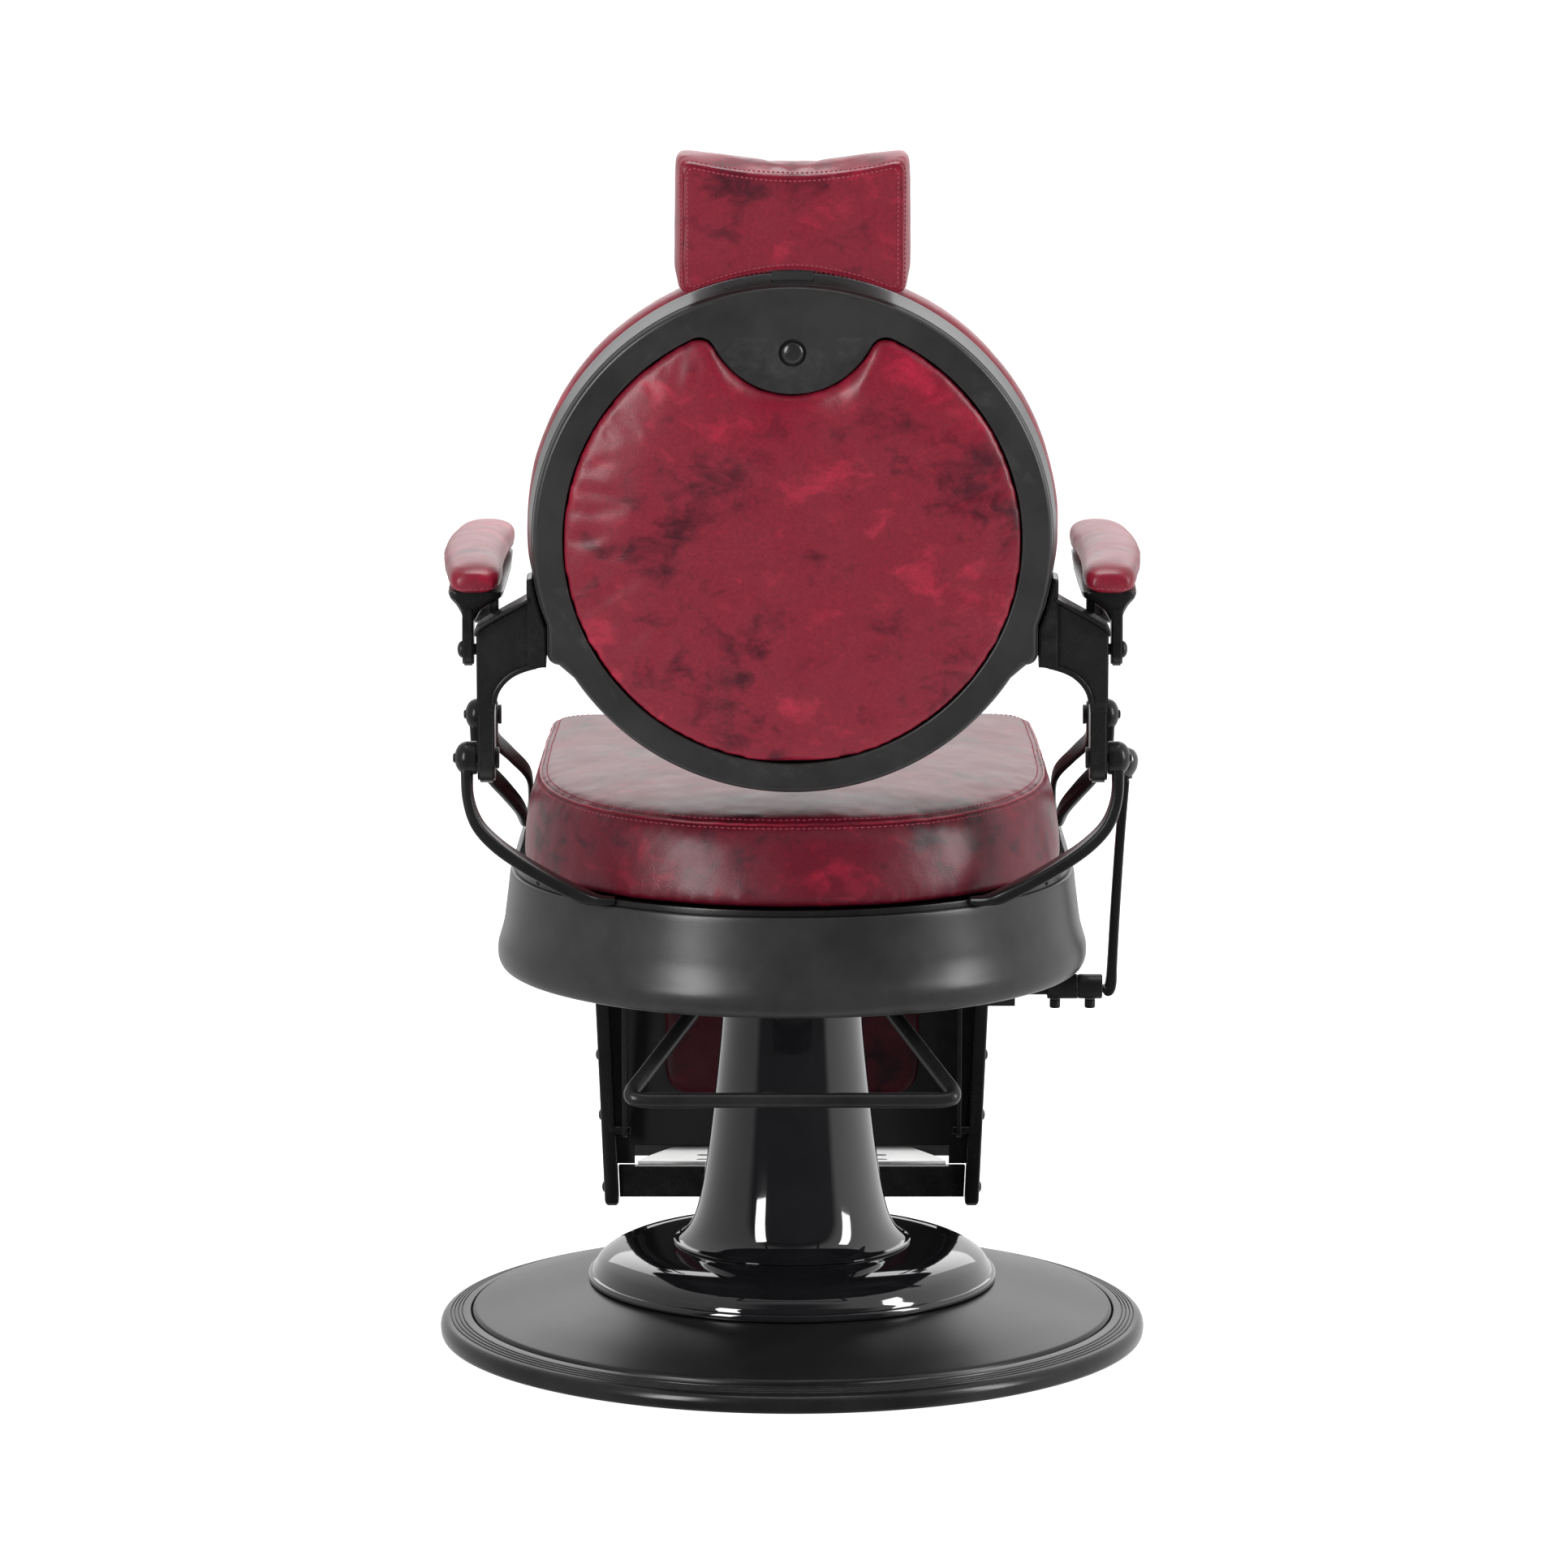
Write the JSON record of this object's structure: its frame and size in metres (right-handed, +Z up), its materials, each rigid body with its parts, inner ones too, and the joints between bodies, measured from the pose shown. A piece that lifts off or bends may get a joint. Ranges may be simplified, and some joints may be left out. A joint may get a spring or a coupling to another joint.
{
  "type": "hydraulic barber chair",
  "caption": "Barber chair with a round seat, round reclining back, headrest, arms and leg rest on a lifting, swivelling column and a wide round base.",
  "frame": {"origin": "on the floor, at the column's axis, at the centre of the base's underside", "axes": "+Z up along the column; the chair faces +Y, so its back is towards -Y; +X is the sitter's right"},
  "size_m": [0.65, 0.7356, 1.1231],
  "materials": {
    "base_metal": "satin black enamel with turned brush marks",
    "satin_black": "satin black",
    "cast_black": "black paint on a casting",
    "gloss_black": "gloss black",
    "dark_steel": "blackened steel",
    "chromed_rod": "polished",
    "plate_silver": "satin",
    "crimson_leather": "mottled crimson, semi-gloss",
    "black_board": "painted black",
    "black_rubber": "moulded",
    "knob_black": "gloss"
  },
  "bodies": {
    "base": {"base_plate": "base_metal", "base_rim": "base_metal", "column_cover": "gloss_black", "guide_collar": "dark_steel", "piston_rod": "chromed_rod"},
    "lift": {"lift_tube": "chromed_rod", "swivel_race": "dark_steel"},
    "seat": {"pump_housing": "cast_black", "seat_frame": "cast_black", "seat_skirt": "satin_black", "seat_pan": "satin_black", "seat_cushion": "crimson_leather", "rear_strap_left": "satin_black", "rear_strap_right": "satin_black", "front_strap_outer_left": "satin_black", "front_strap_outer_right": "satin_black", "front_strap_inner_left": "satin_black", "front_strap_inner_right": "satin_black", "rear_pivot_left": "dark_steel", "rear_pivot_right": "dark_steel", "front_pivot_left": "dark_steel", "front_pivot_right": "dark_steel", "leg_hanger_left": "satin_black", "leg_hanger_right": "satin_black"},
    "pedal": {"pump_pedal": "dark_steel"},
    "lever": {"lever_shaft": "dark_steel", "lever_screw_inner": "dark_steel", "lever_screw_outer": "dark_steel", "recline_lever": "satin_black", "lever_knob": "knob_black"},
    "back": {"back_ring": "satin_black", "back_panel": "crimson_leather", "back_board": "black_board", "back_cushion": "crimson_leather", "post_guide": "cast_black", "back_bracket_left": "satin_black", "back_bracket_right": "satin_black", "arm_rear_pin_left": "dark_steel", "arm_rear_pin_right": "dark_steel"},
    "headrest": {"headrest_post": "chromed_rod", "headrest_pad": "crimson_leather"},
    "button": {"release_button": "chromed_rod"},
    "arm_link_left": {"arm_link_left": "satin_black", "arm_front_pin_left": "dark_steel"},
    "arm_link_right": {"arm_link_right": "satin_black", "arm_front_pin_right": "dark_steel"},
    "arm_left": {"arm_casting_left": "satin_black", "arm_pad_left": "crimson_leather"},
    "arm_right": {"arm_casting_right": "satin_black", "arm_pad_right": "crimson_leather"},
    "leg_rest": {"leg_rail_left": "satin_black", "leg_rail_right": "satin_black", "calf_board": "black_board", "calf_pad": "crimson_leather", "leg_crossbar": "satin_black", "foot_rod": "dark_steel"},
    "stay_left": {"stay_link_left": "dark_steel"},
    "stay_right": {"stay_link_right": "dark_steel"},
    "foot": {"foot_plate": "plate_silver", "toe_bar": "black_rubber"}
  },
  "joints": [
    {"name": "seat_lift", "type": "slide", "parent": "base", "child": "lift", "axis": [0, 0, 1], "range_m": [0, 0.15]},
    {"name": "seat_swivel", "type": "hinge", "parent": "lift", "child": "seat", "pos_m": [0, 0, 0.36], "axis": [0, 0, 1], "continuous": true},
    {"name": "pedal_press", "type": "hinge", "parent": "seat", "child": "pedal", "pos_m": [0, -0.087, 0.369], "axis": [1, 0, 0], "range_deg": [0, 14], "stiffness_Nm_per_rad": 12, "springref_deg": -14.32},
    {"name": "lever_pull", "type": "hinge", "parent": "seat", "child": "lever", "pos_m": [0.262, 0, 0.323], "axis": [1, 0, 0], "range_deg": [0, 18], "stiffness_Nm_per_rad": 4, "springref_deg": -8.59},
    {"name": "back_recline", "type": "hinge", "parent": "seat", "child": "back", "pos_m": [0, -0.2, 0.57], "axis": [1, 0, 0], "range_deg": [0, 40]},
    {"name": "headrest_slide", "type": "slide", "parent": "back", "child": "headrest", "axis": [0, -0.0958, 0.9954], "range_m": [0, 0.07]},
    {"name": "headrest_release", "type": "slide", "parent": "back", "child": "button", "axis": [0, 0.9954, 0.0958], "range_m": [0, 0.004], "stiffness_N_per_m": 900, "springref_m": -0.002},
    {"name": "arm_link_left_pivot", "type": "hinge", "parent": "seat", "child": "arm_link_left", "pos_m": [-0.2802, 0.04, 0.57], "axis": [1, 0, 0], "range_deg": [0, 40]},
    {"name": "arm_left_pivot", "type": "hinge", "parent": "arm_link_left", "child": "arm_left", "pos_m": [-0.2886, 0.04, 0.668], "axis": [1, 0, 0], "range_deg": [-40, 0]},
    {"name": "arm_link_right_pivot", "type": "hinge", "parent": "seat", "child": "arm_link_right", "pos_m": [0.2802, 0.04, 0.57], "axis": [1, 0, 0], "range_deg": [0, 40]},
    {"name": "arm_right_pivot", "type": "hinge", "parent": "arm_link_right", "child": "arm_right", "pos_m": [0.2886, 0.04, 0.668], "axis": [1, 0, 0], "range_deg": [-40, 0]},
    {"name": "leg_rest_swing", "type": "hinge", "parent": "seat", "child": "leg_rest", "pos_m": [0, 0.285, 0.318], "axis": [1, 0, 0], "range_deg": [0, 70]},
    {"name": "stay_left_pivot", "type": "hinge", "parent": "leg_rest", "child": "stay_left", "pos_m": [-0.16, 0.29139, 0.12494], "axis": [1, 0, 0], "range_deg": [-6, 0]},
    {"name": "stay_right_pivot", "type": "hinge", "parent": "leg_rest", "child": "stay_right", "pos_m": [0.16, 0.29139, 0.12494], "axis": [1, 0, 0], "range_deg": [-6, 0]},
    {"name": "foot_plate_fold", "type": "hinge", "parent": "leg_rest", "child": "foot", "pos_m": [0, 0.31461, 0.08255], "axis": [1, 0, 0], "range_deg": [0, 60]}
  ],
  "couplings": [
    {"joint": "arm_link_left_pivot", "follows": "back_recline", "ratio": 1},
    {"joint": "arm_left_pivot", "follows": "back_recline", "ratio": -1},
    {"joint": "arm_link_right_pivot", "follows": "back_recline", "ratio": 1},
    {"joint": "arm_right_pivot", "follows": "back_recline", "ratio": -1},
    {"joint": "leg_rest_swing", "follows": "back_recline", "ratio": 1.75},
    {"joint": "stay_left_pivot", "follows": "back_recline", "ratio": -0.146},
    {"joint": "stay_right_pivot", "follows": "back_recline", "ratio": -0.146}
  ]
}
